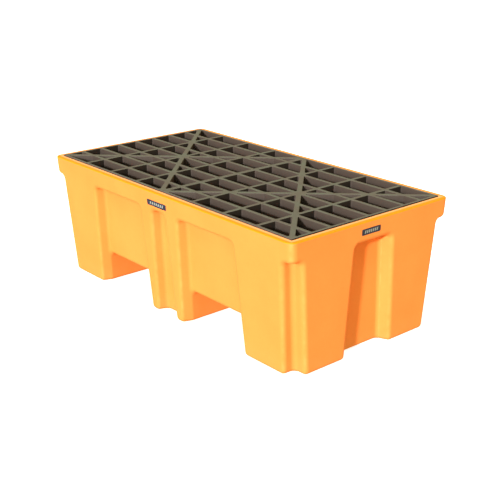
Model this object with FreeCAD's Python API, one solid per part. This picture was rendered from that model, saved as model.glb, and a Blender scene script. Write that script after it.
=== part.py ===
import FreeCAD, Part
import math
import os

# Spill containment pallet: a moulded sump tub that carries two lift-out gratings.
# Millimetres. X runs along the length, Y across the width and Z up, and the origin is
# on the floor under the middle of the tub.

# Driving sizes of the tub
length = 1300.0          # over the rim's top edge
width = 700.0            # over the rim's top edge
tub_height = 445.0
wall = 7.0               # moulded wall, the same all over
rim_band = 68.0          # plain band under the rim, above every recess and notch
rim_ledge = 24.0         # flat top of the rim, from its outer face to the gratings
end_draft = 12.0         # lean of each end face, from the rim to the floor
side_draft = 32.0        # lean of each long face, from the rim to the floor
rim_corner_radius = 26.0
rim_edge_radius = 3.0    # along the rim's outer top edge
outer_radius = 16.0      # every other edge outside
inner_radius = 6.0       # every edge inside the sump

# Corner notches, which run from under the rim band to the floor
notch_top = 43.0
notch_floor = 47.0

# Fork pockets in the long faces, and the channels that join them under the sump
pocket_inner_top = 102.0
pocket_inner_floor = 86.0
pocket_outer_top = 386.0
pocket_outer_floor = 411.0
pocket_depth = 38.0
channel_height = 113.0

# Groove down the middle of each long face, and recess down the middle of each end
groove_half_top = 38.0
groove_half_floor = 54.0
groove_depth = 36.0
end_recess_half_top = 84.0
end_recess_half_floor = 105.0
end_recess_depth = 41.0

# How far a recess narrows at each side, from its mouth to its back
recess_slant = 14.0      # pockets and grooves of the long faces
end_recess_slant = 18.0

cut_margin = 20.0        # how far a cutting tool runs past the face it cuts
match = 0.01             # how closely an edge has to lie at a height to be picked

# Driving sizes of the gratings
deck_proud = 4.0         # the gratings' top stands above the rim
grate_gap = 1.5          # all round, between a grating and the rim
joint_gap = 1.0          # between the two gratings
grate_columns = 4
grate_rows = 8
rib_width = 13.0
edge_rib_width = 9.0
brace_width = 17.0
rib_depth = 50.0         # inner ribs and braces; the edge ribs reach down to the shelves
rib_edge_radius = 1.5
cell_corner_radius = 4.0

# Badges, stuck to the rim band
badge_height = 20.0
badge_thickness = 0.5
badge_radius = 4.0
side_badge_length = 105.0
side_badge_drop = 39.0   # from the rim down to the badge's middle
end_badge_length = 82.0
end_badge_drop = 32.0
end_badge_shift = -18.0  # along Y, from the middle of the end face

# What follows from the driving sizes
recess_top = tub_height - rim_band
shelf_height = recess_top + wall
deck_height = tub_height + deck_proud
grate_depth = deck_height - shelf_height


def blend(at_floor, at_top, z, top_z):
    """A size that changes evenly from the floor up to top_z."""
    return at_floor + (at_top - at_floor) * z / top_z


def half_length(z):
    return length / 2 - end_draft * (1 - z / tub_height)


def half_width(z):
    return width / 2 - side_draft * (1 - z / tub_height)


def prism(low_points, high_points):
    """A solid between two outlines whose sides match, each side a flat face."""
    low = [FreeCAD.Vector(*p) for p in low_points]
    high = [FreeCAD.Vector(*p) for p in high_points]
    count = len(low)
    faces = []
    for ring in (low, high):
        faces.append(Part.Face(Part.makePolygon(ring + ring[:1])))
    for i in range(count):
        j = (i + 1) % count
        side = [low[i], low[j], high[j], high[i], low[i]]
        faces.append(Part.Face(Part.makePolygon(side)))
    solid = Part.Solid(Part.makeShell(faces))
    if solid.Volume < 0:
        solid.reverse()
    return solid


def tapered(outline, low_z, high_z):
    """A prism whose outline(z) gives its corner points at a height."""
    low = [(x, y, low_z) for x, y in outline(low_z)]
    high = [(x, y, high_z) for x, y in outline(high_z)]
    return prism(low, high)


def block(inset, low_z, high_z):
    """The tub's plain drafted block, with its faces moved in by inset."""
    def outline(z):
        x = half_length(z) - inset
        y = half_width(z) - inset
        return [(-x, -y), (x, -y), (x, y), (-x, y)]
    return tapered(outline, low_z, high_z)


def mouth_growth(inset, depth, slant):
    """How much wider a recess is at its mouth when its walls move out by inset."""
    side = math.hypot(slant, depth)
    return inset * (side - slant) / depth


def recess_tool(inset, left, right, depth, slant, face, turn):
    """Cuts one recess: left(z) and right(z) are its edges on the face at face(z)."""
    grow = mouth_growth(inset, depth, slant)
    flare = slant * cut_margin / depth

    def outline(z):
        mouth = -face(z) + inset
        low = left(z) - grow
        high = right(z) + grow
        points = [(low - flare, mouth - cut_margin), (high + flare, mouth - cut_margin)]
        points += [(high - slant, mouth + depth), (low + slant, mouth + depth)]
        return points
    tool = tapered(outline, -cut_margin, recess_top + inset)
    tool.rotate(FreeCAD.Vector(0, 0, 0), FreeCAD.Vector(0, 0, 1), turn)
    return tool


def notch_tool(inset, side_x, side_y):
    def outline(z):
        size = blend(notch_floor, notch_top, z, recess_top)
        near_x = half_length(z) - inset - size
        near_y = half_width(z) - inset - size
        far_x = half_length(z) + cut_margin
        far_y = half_width(z) + cut_margin
        points = [(near_x, near_y), (far_x, near_y), (far_x, far_y), (near_x, far_y)]
        return [(x * side_x, y * side_y) for x, y in points]
    return tapered(outline, -cut_margin, recess_top + inset)


def pocket_inner(z):
    return blend(pocket_inner_floor, pocket_inner_top, z, recess_top)


def pocket_outer(z):
    return blend(pocket_outer_floor, pocket_outer_top, z, recess_top)


def other_inner(z):
    return -pocket_inner(z)


def other_outer(z):
    return -pocket_outer(z)


def groove_right(z):
    return blend(groove_half_floor, groove_half_top, z, recess_top)


def groove_left(z):
    return -groove_right(z)


def end_recess_right(z):
    return blend(end_recess_half_floor, end_recess_half_top, z, recess_top)


def end_recess_left(z):
    return -end_recess_right(z)


def channel_tool(inset, side):
    """Cuts one fork channel through the tub from one long face to the other."""
    reach = width / 2 + cut_margin
    grow = mouth_growth(inset, pocket_depth, recess_slant)
    low_z = -cut_margin
    high_z = channel_height + inset
    points = [(pocket_inner(low_z) + recess_slant - grow, low_z)]
    points += [(pocket_outer(low_z) - recess_slant + grow, low_z)]
    points += [(pocket_outer(high_z) - recess_slant + grow, high_z)]
    points += [(pocket_inner(high_z) + recess_slant - grow, high_z)]
    near = [(x * side, -reach, z) for x, z in points]
    far = [(x * side, reach, z) for x, z in points]
    return prism(near, far)


def tub_form(inset, low_z, high_z):
    """The tub's moulded form, with every wall moved in by inset."""
    form = block(inset, low_z, high_z)
    tools = []
    for side_x in (-1, 1):
        for side_y in (-1, 1):
            tools.append(notch_tool(inset, side_x, side_y))
        tools.append(channel_tool(inset, side_x))
    for turn in (0, 180):
        for left, right in ((pocket_inner, pocket_outer), (other_outer, other_inner)):
            tools.append(recess_tool(inset, left, right, pocket_depth, recess_slant, half_width, turn))
        tools.append(recess_tool(inset, groove_left, groove_right, groove_depth, recess_slant,
                                 half_width, turn))
        tools.append(recess_tool(inset, end_recess_left, end_recess_right, end_recess_depth,
                                 end_recess_slant, half_length, turn + 90))
    return form.cut(tools)


def level(edge, height):
    """True for an edge that lies all along at one height."""
    return all(abs(v.Z - height) < match for v in edge.Vertexes)


def rim_corner(edge):
    """True for the four upright edges at the corners of the rim band."""
    low, high = sorted(v.Z for v in edge.Vertexes)
    return abs(low - recess_top) < match and abs(high - tub_height) < match


def rounded_outside():
    form = tub_form(0, 0, tub_height).removeSplitter()
    form = form.makeFillet(rim_corner_radius, [e for e in form.Edges if rim_corner(e)])
    form = form.makeFillet(outer_radius, [e for e in form.Edges if not level(e, tub_height)])
    return form.makeFillet(rim_edge_radius, [e for e in form.Edges if level(e, tub_height)])


def rounded_inside():
    """The space inside the walls, up to the underside of the rim's ledge."""
    form = tub_form(wall, wall, tub_height - wall).removeSplitter()
    return form.makeFillet(inner_radius, form.Edges)


def sump_tub():
    reach_x = length / 2 - rim_ledge
    reach_y = width / 2 - rim_ledge
    mouth = Part.makeBox(2 * reach_x, 2 * reach_y, 2 * wall + cut_margin)
    mouth.translate(FreeCAD.Vector(-reach_x, -reach_y, tub_height - 2 * wall))
    return rounded_outside().cut([rounded_inside(), mouth])


def bar(low_x, low_y, high_x, high_y, depth):
    """A straight rib that hangs down from the deck's top."""
    solid = Part.makeBox(high_x - low_x, high_y - low_y, depth)
    solid.translate(FreeCAD.Vector(low_x, low_y, deck_height - depth))
    return solid


def brace(span_x, span_y, middle_x, turn):
    """A diagonal rib, corner to corner of a grating."""
    run = math.hypot(span_x, span_y)
    solid = Part.makeBox(run, brace_width, rib_depth)
    solid.translate(FreeCAD.Vector(-run / 2, -brace_width / 2, deck_height - rib_depth))
    angle = turn * math.degrees(math.atan2(span_y, span_x))
    solid.rotate(FreeCAD.Vector(0, 0, 0), FreeCAD.Vector(0, 0, 1), angle)
    solid.translate(FreeCAD.Vector(middle_x, 0, 0))
    return solid


def cell_corner(edge, reach):
    """True for an upright edge inside a grating, where two ribs meet."""
    low, high = sorted(v.Z for v in edge.Vertexes)
    upright = abs(high - low - edge.Length) < match
    inside = abs(edge.Vertexes[0].Y) < reach - edge_rib_width / 2
    return upright and inside and abs(high - deck_height) < match


def grate(side):
    """One grating: side is -1 on the left and 1 on the right."""
    near = joint_gap / 2
    far = length / 2 - rim_ledge - grate_gap
    reach = width / 2 - rim_ledge - grate_gap
    span_x = far - near
    middle = side * (near + far) / 2
    low_x = middle - span_x / 2
    high_x = middle + span_x / 2
    rim = edge_rib_width
    frame = bar(low_x, -reach, high_x, reach, grate_depth)
    frame = frame.cut(bar(low_x + rim, -reach + rim, high_x - rim, reach - rim, grate_depth))
    ribs = []
    for i in range(1, grate_columns):
        x = low_x + span_x * i / grate_columns
        ribs.append(bar(x - rib_width / 2, -reach, x + rib_width / 2, reach, rib_depth))
    for i in range(1, grate_rows):
        y = -reach + 2 * reach * i / grate_rows
        ribs.append(bar(low_x, y - rib_width / 2, high_x, y + rib_width / 2, rib_depth))
    for turn in (-1, 1):
        ribs.append(brace(span_x, 2 * reach, middle, turn))
    inside = bar(low_x, -reach, high_x, reach, rib_depth)
    solid = frame.fuse([rib.common(inside) for rib in ribs]).removeSplitter()
    solid = solid.makeFillet(cell_corner_radius, [e for e in solid.Edges if cell_corner(e, reach)])
    return solid.makeFillet(rib_edge_radius, [e for e in solid.Edges if level(e, deck_height)])


def badge(size, drop, shift, face, draft, turn):
    """A thin plate with rounded corners, flat on the leaning face of the rim band."""
    plate = Part.makeBox(size, badge_thickness, badge_height)
    plate.translate(FreeCAD.Vector(-size / 2, -badge_thickness, -badge_height / 2))
    corners = [e for e in plate.Edges if abs(e.Length - badge_thickness) < match]
    plate = plate.makeFillet(badge_radius, corners)
    lean = math.degrees(math.atan2(draft, tub_height))
    plate.rotate(FreeCAD.Vector(0, 0, 0), FreeCAD.Vector(1, 0, 0), lean)
    middle = tub_height - drop
    plate.translate(FreeCAD.Vector(shift, -face(middle), middle))
    plate.rotate(FreeCAD.Vector(0, 0, 0), FreeCAD.Vector(0, 0, 1), turn)
    return plate


parts = {
    "sump_tub": sump_tub(),
    "left_grate": grate(-1),
    "right_grate": grate(1),
    "side_badge": badge(side_badge_length, side_badge_drop, 0, half_width, side_draft, 0),
    "end_badge": badge(end_badge_length, end_badge_drop, end_badge_shift, half_length, end_draft, 90),
}

os.makedirs("parts", exist_ok=True)
for name, shape in parts.items():
    solid = shape.Solids[0] if len(shape.Solids) == 1 else shape
    solid.exportStep("parts/" + name + ".step")
    litres = round(solid.Volume / 1e6, 3)
    print(name, "valid", solid.isValid(), "litres", litres, "solids", len(shape.Solids))
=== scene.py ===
import math
import bmesh
import bpy
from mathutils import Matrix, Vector


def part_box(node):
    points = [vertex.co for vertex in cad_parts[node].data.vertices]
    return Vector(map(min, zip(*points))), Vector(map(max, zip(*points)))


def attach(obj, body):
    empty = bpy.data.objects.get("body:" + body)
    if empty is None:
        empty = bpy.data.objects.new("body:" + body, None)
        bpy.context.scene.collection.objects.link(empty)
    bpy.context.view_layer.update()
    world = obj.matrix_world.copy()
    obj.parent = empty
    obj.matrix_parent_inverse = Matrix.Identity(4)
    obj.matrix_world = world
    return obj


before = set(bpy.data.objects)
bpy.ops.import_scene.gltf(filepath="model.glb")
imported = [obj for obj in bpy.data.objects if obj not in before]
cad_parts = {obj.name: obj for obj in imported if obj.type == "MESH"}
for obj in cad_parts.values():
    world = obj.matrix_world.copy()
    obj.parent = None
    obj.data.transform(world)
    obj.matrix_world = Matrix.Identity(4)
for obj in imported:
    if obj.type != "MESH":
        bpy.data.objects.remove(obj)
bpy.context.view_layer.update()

# Spill containment pallet: a rotomoulded sump tub that carries two lift-out moulded gratings.
# Metres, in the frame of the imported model.

mm = 0.001
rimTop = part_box("sump_tub")[1][2]
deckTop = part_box("left_grate")[1][2]


# sRGB hex to the linear colour that shaders take
def hexColour(text):
    parts = [int(text[i:i + 2], 16) / 255 for i in (1, 3, 5)]
    linear = [c / 12.92 if c <= 0.04045 else ((c + 0.055) / 1.055) ** 2.4 for c in parts]
    return (*linear, 1.0)


# a setting is an attribute of the node where it has one, and otherwise an input's value
def addNode(tree, kind, settings=None, links=None):
    node = tree.nodes.new(kind)
    for name, value in (settings or {}).items():
        if isinstance(name, str) and hasattr(node, name):
            setattr(node, name, value)
        else:
            node.inputs[name].default_value = value
    for name, source in (links or {}).items():
        tree.links.new(source, node.inputs[name])
    return node


def newMaterial(name):
    material = bpy.data.materials.new(name)
    material.use_nodes = True
    tree = material.node_tree
    tree.nodes.clear()
    return material, tree


# noise whose blotches are about so many millimetres across
def blotches(size, **more):
    return {"Scale": 1 / (size * mm), "Detail": 3.0, **more}


# What counts as a rounded outer edge. The normal's largest part is near 1 on the flat faces and
# falls as an edge turns, and the bulge is 0.5 where the surface doesn't bend.
roundedEdge = {"flatNormal": 0.93, "turnedNormal": 0.78, "noBulge": 0.5, "fullBulge": 0.53}


# rises to the given most along rounded outer edges, and is 0 on flat faces
def edgeMask(tree, most):
    facts = roundedEdge
    shape = addNode(tree, "ShaderNodeNewGeometry")
    size = addNode(tree, "ShaderNodeVectorMath", {"operation": "ABSOLUTE"}, {0: shape.outputs["Normal"]})
    parts = addNode(tree, "ShaderNodeSeparateXYZ", {}, {0: size.outputs[0]})
    sides = addNode(tree, "ShaderNodeMath", {"operation": "MAXIMUM"},
                    {0: parts.outputs[0], 1: parts.outputs[1]})
    flat = addNode(tree, "ShaderNodeMath", {"operation": "MAXIMUM"},
                   {0: sides.outputs[0], 1: parts.outputs[2]})
    turned = addNode(tree, "ShaderNodeMapRange",
                     {"From Min": facts["flatNormal"], "From Max": facts["turnedNormal"], "To Max": most},
                     {"Value": flat.outputs[0]})
    convex = addNode(tree, "ShaderNodeMapRange",
                     {"From Min": facts["noBulge"], "From Max": facts["fullBulge"]},
                     {"Value": shape.outputs["Pointiness"]})
    both = addNode(tree, "ShaderNodeMath", {"operation": "MULTIPLY"},
                   {0: turned.outputs[0], 1: convex.outputs[0]})
    return both.outputs[0]


# 1 within so many millimetres of the tub's outline as seen from above, and 0 further in
def outlineMask(tree, place, wide):
    low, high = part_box("sump_tub")
    reach = [(high[i] - low[i]) / 2 - wide * mm for i in (0, 1)]
    halfBlend = 0.5 * mm
    size = addNode(tree, "ShaderNodeVectorMath", {"operation": "ABSOLUTE"}, {0: place})
    past = addNode(tree, "ShaderNodeVectorMath", {"operation": "SUBTRACT", 1: (*reach, 0)},
                   {0: size.outputs[0]})
    parts = addNode(tree, "ShaderNodeSeparateXYZ", {}, {0: past.outputs[0]})
    most = addNode(tree, "ShaderNodeMath", {"operation": "MAXIMUM"},
                   {0: parts.outputs[0], 1: parts.outputs[1]})
    mask = addNode(tree, "ShaderNodeMapRange", {"From Min": -halfBlend, "From Max": halfBlend},
                   {"Value": most.outputs[0]})
    return mask.outputs[0]


# The tub: polyethylene powder fused inside a hot turning mould. The pigment is slightly
# uneven, the skin has an orange peel and broad ripples, and edges rub pale and dull.
# The peel is drawn coarser than a real one, so that it shows.
tubFinish = {
    "pigment": "#FF9349", "paler": "#FF994E", "rubbed": "#FFB468", "dust": "#E39A5C",
    # a painted highlight for the rim's top, and painted shade for its rounded outer edge
    "ledgeHighlight": "#FFB074", "rimEdgeShade": "#FA8E0A",
    # millimetres: patterns, then depths and heights
    "mottle": 160, "speckle": 9, "rubPatches": 35, "peel": 5, "ripple": 260,
    "peelDepth": 0.12, "rippleDepth": 2.5,
    "rimEdgeDepth": 5, "rimEdgeFull": 2, "rimEdgeWidth": 13, "dustHeight": 70,
    # how far each one shows, and the part of the noise that it spreads over
    "speckleContrast": 0.04, "rubMost": 0.6, "dustMost": 0.35, "peelStrength": 0.35, "rippleStrength": 0.6,
    "mottleRange": (0.3, 0.7), "patchRange": (0.35, 0.65),
    # roughness where it is untouched and where it is rubbed
    "roughness": (0.42, 0.66), "specular": 0.25, "ior": 1.5,
}


def rotomouldedPolyethylene():
    finish = tubFinish
    material, tree = newMaterial("rotomouldedPolyethylene")
    place = addNode(tree, "ShaderNodeTexCoord").outputs["Object"]
    # uneven pigment
    mottle = addNode(tree, "ShaderNodeTexNoise", blotches(finish["mottle"]), {"Vector": place})
    least, most = finish["mottleRange"]
    spread = addNode(tree, "ShaderNodeMapRange", {"From Min": least, "From Max": most},
                     {"Value": mottle.outputs["Fac"]})
    pigment = addNode(tree, "ShaderNodeMix",
                      {"data_type": "RGBA", 6: hexColour(finish["pigment"]), 7: hexColour(finish["paler"])},
                      {0: spread.outputs[0]})
    speckle = addNode(tree, "ShaderNodeTexNoise", blotches(finish["speckle"]), {"Vector": place})
    contrast = finish["speckleContrast"]
    grain = addNode(tree, "ShaderNodeMapRange", {"To Min": 1 - contrast, "To Max": 1 + contrast},
                    {"Value": speckle.outputs["Fac"]})
    grained = addNode(tree, "ShaderNodeHueSaturation", {},
                      {"Color": pigment.outputs[2], "Value": grain.outputs[0]})
    # rubbed edges, in patches
    patches = addNode(tree, "ShaderNodeTexNoise", blotches(finish["rubPatches"], Detail=6.0),
                      {"Vector": place})
    least, most = finish["patchRange"]
    patchy = addNode(tree, "ShaderNodeMapRange", {"From Min": least, "From Max": most},
                     {"Value": patches.outputs["Fac"]})
    rub = addNode(tree, "ShaderNodeMath", {"operation": "MULTIPLY"},
                  {0: edgeMask(tree, finish["rubMost"]), 1: patchy.outputs[0]})
    rubbed = addNode(tree, "ShaderNodeMix", {"data_type": "RGBA", 7: hexColour(finish["rubbed"])},
                     {0: rub.outputs[0], 6: grained.outputs[0]})
    # the rim: a painted highlight on its top, with painted shade on the ledge's outer part and rounded
    # outer edge
    height = addNode(tree, "ShaderNodeSeparateXYZ", {}, {0: place})
    atRim = addNode(tree, "ShaderNodeMapRange",
                    {"From Min": rimTop - finish["rimEdgeDepth"] * mm,
                     "From Max": rimTop - finish["rimEdgeFull"] * mm},
                    {"Value": height.outputs["Z"]})
    # painted highlight: the top few millimetres of the rim drawn paler
    ledgeLit = addNode(tree, "ShaderNodeMix", {"data_type": "RGBA", 7: hexColour(finish["ledgeHighlight"])},
                      {0: atRim.outputs[0], 6: rubbed.outputs[2]})
    # painted shade: the ledge's outer part and the rounded outer edge drawn a deeper orange
    edgeShadeMask = addNode(tree, "ShaderNodeMath", {"operation": "MULTIPLY"},
                     {0: atRim.outputs[0], 1: outlineMask(tree, place, finish["rimEdgeWidth"])})
    rimShaded = addNode(tree, "ShaderNodeMix", {"data_type": "RGBA", 7: hexColour(finish["rimEdgeShade"])},
                     {0: edgeShadeMask.outputs[0], 6: ledgeLit.outputs[2]})
    # dust that rises a little way up the feet
    nearFloor = addNode(tree, "ShaderNodeMapRange",
                        {"From Min": finish["dustHeight"] * mm, "From Max": 0.0,
                         "To Max": finish["dustMost"]},
                        {"Value": height.outputs["Z"]})
    dusty = addNode(tree, "ShaderNodeMath", {"operation": "MULTIPLY"},
                    {0: nearFloor.outputs[0], 1: patchy.outputs[0]})
    dusted = addNode(tree, "ShaderNodeMix", {"data_type": "RGBA", 7: hexColour(finish["dust"])},
                     {0: dusty.outputs[0], 6: rimShaded.outputs[2]})
    # the skin
    peel = addNode(tree, "ShaderNodeTexNoise", blotches(finish["peel"], Detail=1.0), {"Vector": place})
    ripple = addNode(tree, "ShaderNodeTexNoise", blotches(finish["ripple"], Detail=1.0), {"Vector": place})
    waves = addNode(tree, "ShaderNodeBump",
                    {"Strength": finish["rippleStrength"], "Distance": finish["rippleDepth"] * mm},
                    {"Height": ripple.outputs["Fac"]})
    skin = addNode(tree, "ShaderNodeBump",
                   {"Strength": finish["peelStrength"], "Distance": finish["peelDepth"] * mm},
                   {"Height": peel.outputs["Fac"], "Normal": waves.outputs[0]})
    smooth, rough = finish["roughness"]
    satin = addNode(tree, "ShaderNodeMapRange", {"To Min": smooth, "To Max": rough},
                    {"Value": rub.outputs[0]})
    shader = addNode(tree, "ShaderNodeBsdfPrincipled",
                     {"IOR": finish["ior"], "Specular IOR Level": finish["specular"]},
                     {"Base Color": dusted.outputs[2], "Roughness": satin.outputs[0],
                      "Normal": skin.outputs[0]})
    addNode(tree, "ShaderNodeOutputMaterial", {}, {"Surface": shader.outputs[0]})
    return material


# The gratings: injection-moulded polyethylene, dark and matt. Drums rub the tops of the ribs
# to a paler greenish grey, and the brown walls of the cells carry painted shade, deeper down.
# The grain is drawn coarser than a real mould's, so that it shows.
grateFinish = {
    # the near-black is painted shade, for the cells' lower walls and the walls facing along the length
    "worn": "#595F5A", "wornBrown": "#595653", "wall": "#473F3B", "cellShade": "#17130F", "edge": "#737470",
    # millimetres: patterns, then depths below the top of the deck
    "fade": 75, "scratch": 12, "grain": 3, "grainDepth": 0.2,
    "shoulder": 3, "flatTop": 0.5, "darkBelow": 56,
    # how far each one shows, and the part of the noise or of the normal that it spreads over
    # the first of these is how dark the painted shade on walls facing along the length gets
    "crossShade": 0.85, "edgeMost": 0.7, "grainContrast": 0.18, "grainStrength": 0.4,
    "fadeRange": (0.35, 0.65), "scratchRange": (0.4, 0.6),
    "acrossRange": (0.75, 0.95), "upRange": (0.35, 0.95),
    "roughness": (0.54, 0.72), "specular": 0.3, "ior": 1.5,
}


def mouldedGratePolyethylene():
    finish = grateFinish
    material, tree = newMaterial("mouldedGratePolyethylene")
    place = addNode(tree, "ShaderNodeTexCoord").outputs["Object"]
    shape = addNode(tree, "ShaderNodeNewGeometry")
    height = addNode(tree, "ShaderNodeSeparateXYZ", {}, {0: place})
    facing = addNode(tree, "ShaderNodeSeparateXYZ", {}, {0: shape.outputs["Normal"]})
    # painted shade: the walls darken as they go down into the cells
    depth = addNode(tree, "ShaderNodeMapRange",
                    {"From Min": deckTop, "From Max": deckTop - finish["darkBelow"] * mm,
                     "interpolation_type": "SMOOTHSTEP"},
                    {"Value": height.outputs["Z"]})
    wall = addNode(tree, "ShaderNodeMix",
                   {"data_type": "RGBA", 6: hexColour(finish["wall"]), 7: hexColour(finish["cellShade"])},
                   {0: depth.outputs[0]})
    # painted shade: the walls that face along the length are darkened, standing in for the shade they get
    # in the cells
    turned = addNode(tree, "ShaderNodeMath", {"operation": "ABSOLUTE"}, {0: facing.outputs["X"]})
    least, most = finish["acrossRange"]
    across = addNode(tree, "ShaderNodeMapRange",
                     {"From Min": least, "From Max": most, "To Max": finish["crossShade"]},
                     {"Value": turned.outputs[0]})
    crossShaded = addNode(tree, "ShaderNodeMix", {"data_type": "RGBA", 7: hexColour(finish["cellShade"])},
                    {0: across.outputs[0], 6: wall.outputs[2]})
    # worn tops, faded unevenly
    fade = addNode(tree, "ShaderNodeTexNoise", blotches(finish["fade"]), {"Vector": place})
    least, most = finish["fadeRange"]
    faded = addNode(tree, "ShaderNodeMapRange", {"From Min": least, "From Max": most},
                    {"Value": fade.outputs["Fac"]})
    worn = addNode(tree, "ShaderNodeMix",
                   {"data_type": "RGBA", 6: hexColour(finish["worn"]), 7: hexColour(finish["wornBrown"])},
                   {0: faded.outputs[0]})
    least, most = finish["upRange"]
    up = addNode(tree, "ShaderNodeMapRange", {"From Min": least, "From Max": most},
                 {"Value": facing.outputs["Z"]})
    top = addNode(tree, "ShaderNodeMapRange",
                  {"From Min": deckTop - finish["shoulder"] * mm,
                   "From Max": deckTop - finish["flatTop"] * mm},
                  {"Value": height.outputs["Z"]})
    rubbed = addNode(tree, "ShaderNodeMath", {"operation": "MULTIPLY"},
                     {0: up.outputs[0], 1: top.outputs[0]})
    body = addNode(tree, "ShaderNodeMix", {"data_type": "RGBA"},
                   {0: rubbed.outputs[0], 6: crossShaded.outputs[2], 7: worn.outputs[2]})
    # scratched edges along the tops
    nicks = addNode(tree, "ShaderNodeTexNoise", blotches(finish["scratch"], Detail=6.0), {"Vector": place})
    least, most = finish["scratchRange"]
    nicked = addNode(tree, "ShaderNodeMapRange", {"From Min": least, "From Max": most},
                     {"Value": nicks.outputs["Fac"]})
    edgeWear = addNode(tree, "ShaderNodeMath", {"operation": "MULTIPLY"},
                       {0: edgeMask(tree, finish["edgeMost"]), 1: nicked.outputs[0]})
    topWear = addNode(tree, "ShaderNodeMath", {"operation": "MULTIPLY"},
                      {0: edgeWear.outputs[0], 1: top.outputs[0]})
    edged = addNode(tree, "ShaderNodeMix", {"data_type": "RGBA", 7: hexColour(finish["edge"])},
                    {0: topWear.outputs[0], 6: body.outputs[2]})
    # the grain of the mould
    grain = addNode(tree, "ShaderNodeTexNoise", blotches(finish["grain"], Detail=2.0), {"Vector": place})
    contrast = finish["grainContrast"]
    shade = addNode(tree, "ShaderNodeMapRange", {"To Min": 1 - contrast, "To Max": 1 + contrast},
                    {"Value": grain.outputs["Fac"]})
    grained = addNode(tree, "ShaderNodeHueSaturation", {},
                      {"Color": edged.outputs[2], "Value": shade.outputs[0]})
    skin = addNode(tree, "ShaderNodeBump",
                   {"Strength": finish["grainStrength"], "Distance": finish["grainDepth"] * mm},
                   {"Height": grain.outputs["Fac"]})
    smooth, rough = finish["roughness"]
    dull = addNode(tree, "ShaderNodeMapRange", {"To Min": smooth, "To Max": rough},
                   {"Value": nicks.outputs["Fac"]})
    shader = addNode(tree, "ShaderNodeBsdfPrincipled",
                     {"IOR": finish["ior"], "Specular IOR Level": finish["specular"]},
                     {"Base Color": grained.outputs[0], "Roughness": dull.outputs[0],
                      "Normal": skin.outputs[0]})
    addNode(tree, "ShaderNodeOutputMaterial", {}, {"Surface": shader.outputs[0]})
    return material


# The badges: printed vinyl film, smooth and slightly glossy, with a print dot and a rubbed rim.
# The dot is drawn coarser than a real one, so that it shows.
badgeFinish = {
    "film": "#14213A", "faded": "#1E3050", "ink": "#A9B3B8", "inkThin": "#8F9BA3", "scuff": "#5F7084",
    "fade": 25, "dot": 2, "dotDepth": 0.05,  # millimetres
    "scuffMost": 0.35, "dotContrast": 0.08, "dotStrength": 0.15,
    "roughness": (0.28, 0.44), "ior": 1.46,
}


def printedVinyl(name, ground, thin):
    finish = badgeFinish
    material, tree = newMaterial(name)
    place = addNode(tree, "ShaderNodeTexCoord").outputs["Object"]
    fade = addNode(tree, "ShaderNodeTexNoise", blotches(finish["fade"]), {"Vector": place})
    colour = addNode(tree, "ShaderNodeMix",
                     {"data_type": "RGBA", 6: hexColour(finish[ground]), 7: hexColour(finish[thin])},
                     {0: fade.outputs["Fac"]})
    rubbed = addNode(tree, "ShaderNodeMix", {"data_type": "RGBA", 7: hexColour(finish["scuff"])},
                     {0: edgeMask(tree, finish["scuffMost"]), 6: colour.outputs[2]})
    dot = addNode(tree, "ShaderNodeTexNoise", blotches(finish["dot"], Detail=1.0), {"Vector": place})
    contrast = finish["dotContrast"]
    shade = addNode(tree, "ShaderNodeMapRange", {"To Min": 1 - contrast, "To Max": 1 + contrast},
                    {"Value": dot.outputs["Fac"]})
    printed = addNode(tree, "ShaderNodeHueSaturation", {},
                      {"Color": rubbed.outputs[2], "Value": shade.outputs[0]})
    smooth, rough = finish["roughness"]
    gloss = addNode(tree, "ShaderNodeMapRange", {"To Min": smooth, "To Max": rough},
                    {"Value": fade.outputs["Fac"]})
    skin = addNode(tree, "ShaderNodeBump",
                   {"Strength": finish["dotStrength"], "Distance": finish["dotDepth"] * mm},
                   {"Height": dot.outputs["Fac"]})
    shader = addNode(tree, "ShaderNodeBsdfPrincipled", {"IOR": finish["ior"]},
                     {"Base Color": printed.outputs[0], "Roughness": gloss.outputs[0],
                      "Normal": skin.outputs[0]})
    addNode(tree, "ShaderNodeOutputMaterial", {}, {"Surface": shader.outputs[0]})
    return material


def finishCadNodes():
    tub = rotomouldedPolyethylene()
    grating = mouldedGratePolyethylene()
    film = printedVinyl("printedVinylFilm", "film", "faded")
    finishes = {"sump_tub": tub, "left_grate": grating, "right_grate": grating,
                "side_badge": film, "end_badge": film}
    for node, material in finishes.items():
        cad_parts[node].material_slots[0].material = material
    print("finishes on", len(finishes), "CAD nodes")


# The badges' print: a row of plain slanted bars, laid on the film. The row's length and height
# are shares of the badge, a bar's width is a share of the pitch, and the rest is in millimetres.
badgePrint = {
    "bars": 7, "barShare": 0.5, "length": 0.74, "height": 0.46, "slant": 3.0, "thickness": 0.08,
}


# the outer face of a badge: its middle, the ways along and up it, its normal, and its length and height
def badgeFace(node, outward):
    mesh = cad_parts[node].data
    middle = Vector()
    normal = Vector()
    area = 0
    nearlyOutward = 0.9
    for face in mesh.polygons:
        if face.normal.dot(outward) > nearlyOutward:
            middle += face.center * face.area
            normal += face.normal * face.area
            area += face.area
    middle /= area
    normal.normalize()
    along = Vector((0, 0, 1)).cross(normal).normalized()
    up = normal.cross(along)
    reach = [(mesh.vertices[i].co - middle) for face in mesh.polygons for i in face.vertices]
    size = [2 * max(r.dot(way) for r in reach) for way in (along, up)]
    return middle, along, up, normal, size


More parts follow.
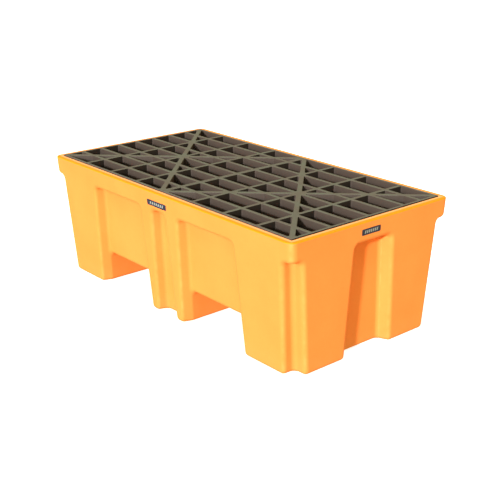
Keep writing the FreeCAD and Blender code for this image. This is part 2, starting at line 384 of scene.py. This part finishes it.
def printBadge(node, outward, ink):
    facts = badgePrint
    middle, along, up, normal, size = badgeFace(node, outward)
    pitch = size[0] * facts["length"] / facts["bars"]
    wide = pitch * facts["barShare"]
    tall = size[1] * facts["height"]
    slant = facts["slant"] * mm
    thick = facts["thickness"] * mm
    form = bmesh.new()
    for i in range(facts["bars"]):
        start = (i - facts["bars"] / 2 + 0.5) * pitch
        corners = [(start - wide / 2 - slant / 2, -tall / 2), (start + wide / 2 - slant / 2, -tall / 2),
                   (start + wide / 2 + slant / 2, tall / 2), (start - wide / 2 + slant / 2, tall / 2)]
        rings = []
        for lift in (0, thick):
            rings.append([form.verts.new(middle + along * x + up * y + normal * lift) for x, y in corners])
        form.faces.new(rings[0][::-1])
        form.faces.new(rings[1])
        for j in range(len(corners)):
            k = (j + 1) % len(corners)
            form.faces.new((rings[0][j], rings[0][k], rings[1][k], rings[1][j]))
    mesh = bpy.data.meshes.new(node + "_print")
    form.to_mesh(mesh)
    form.free()
    piece = bpy.data.objects.new(node + "_print", mesh)
    bpy.context.scene.collection.objects.link(piece)
    mesh.materials.append(ink)
    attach(piece, "tub")
    print("print on", node)


# The camera stands in front of the corner between the two badge faces and looks down on it.
view = {
    "azimuth": 49.25, "elevation": 20.20, "distance": 3.385, "lens": 69.15, "sensor": 36.0,
    "target": (0.076, -0.007, 0.187),
}


# the way to a place, in degrees: the azimuth turns from the side badge towards the end badge
def direction(azimuth, elevation):
    a = math.radians(azimuth)
    e = math.radians(elevation)
    return Vector((math.sin(a) * math.cos(e), -math.cos(a) * math.cos(e), math.sin(e)))


def makeCamera():
    data = bpy.data.cameras.new("camera")
    data.lens = view["lens"]
    data.sensor_width = view["sensor"]
    camera = bpy.data.objects.new("camera", data)
    bpy.context.scene.collection.objects.link(camera)
    back = direction(view["azimuth"], view["elevation"])
    camera.location = Vector(view["target"]) + back * view["distance"]
    camera.rotation_euler = back.to_track_quat("Z", "Y").to_euler()
    bpy.context.scene.camera = camera
    print("camera")


# A low key light, a broad cool light from above, a warm fill from all round, and matt paper lit
# from behind, under the pallet and all round it, whose glow keeps the pallet's shadow faint.
studio = {
    "key": {"azimuth": 22, "elevation": 18, "spread": 4, "strength": 4.82, "colour": "#FFFAF4"},
    "sky": {"azimuth": 35, "elevation": 74, "spread": 50, "strength": 1.75, "colour": "#EFFBF6"},
    "lampDistance": 4,
    "fill": {"strength": 0.71, "colour": "#FFE098"},
    "paper": {"colour": "#F6F6F5", "glow": 0.8, "roughness": 0.9, "reach": 60},
    "floorCells": 4, "surroundSegments": 64, "surroundRings": 32,
}


def makeSun(name):
    facts = studio[name]
    data = bpy.data.lights.new(name, "SUN")
    data.angle = math.radians(facts["spread"])
    data.energy = facts["strength"]
    data.color = hexColour(facts["colour"])[:3]
    lamp = bpy.data.objects.new(name, data)
    bpy.context.scene.collection.objects.link(lamp)
    back = direction(facts["azimuth"], facts["elevation"])
    lamp.location = back * studio["lampDistance"]
    lamp.rotation_euler = back.to_track_quat("Z", "Y").to_euler()


def makeStudio():
    makeSun("key")
    makeSun("sky")
    world = bpy.data.worlds.new("studio")
    world.use_nodes = True
    ground = world.node_tree.nodes["Background"]
    ground.inputs["Strength"].default_value = studio["fill"]["strength"]
    ground.inputs["Color"].default_value = hexColour(studio["fill"]["colour"])
    bpy.context.scene.world = world
    paper = studio["paper"]
    material, tree = newMaterial("backLitPaper")
    shader = addNode(tree, "ShaderNodeBsdfPrincipled",
                     {"Roughness": paper["roughness"], "Base Color": hexColour(paper["colour"]),
                      "Emission Color": hexColour(paper["colour"]), "Emission Strength": paper["glow"]})
    addNode(tree, "ShaderNodeOutputMaterial", {}, {"Surface": shader.outputs[0]})
    forms = {"studioFloor": bmesh.new(), "studioSurround": bmesh.new()}
    bmesh.ops.create_grid(forms["studioFloor"], x_segments=studio["floorCells"],
                          y_segments=studio["floorCells"], size=paper["reach"])
    bmesh.ops.create_uvsphere(forms["studioSurround"], u_segments=studio["surroundSegments"],
                              v_segments=studio["surroundRings"], radius=paper["reach"])
    for name, form in forms.items():
        mesh = bpy.data.meshes.new(name)
        form.to_mesh(mesh)
        form.free()
        mesh.materials.append(material)
        sheet = bpy.data.objects.new(name, mesh)
        bpy.context.scene.collection.objects.link(sheet)
        # the paper doesn't light the pallet or show in its gloss, and lets the lamps' light through
        sheet.visible_diffuse = False
        sheet.visible_glossy = False
        sheet.visible_shadow = False
    bpy.context.scene.view_settings.view_transform = "Standard"
    print("studio")


finishCadNodes()
inkWhite = printedVinyl("printedInk", "ink", "inkThin")
printBadge("side_badge", Vector((0, -1, 0)), inkWhite)
printBadge("end_badge", Vector((1, 0, 0)), inkWhite)
makeCamera()
makeStudio()
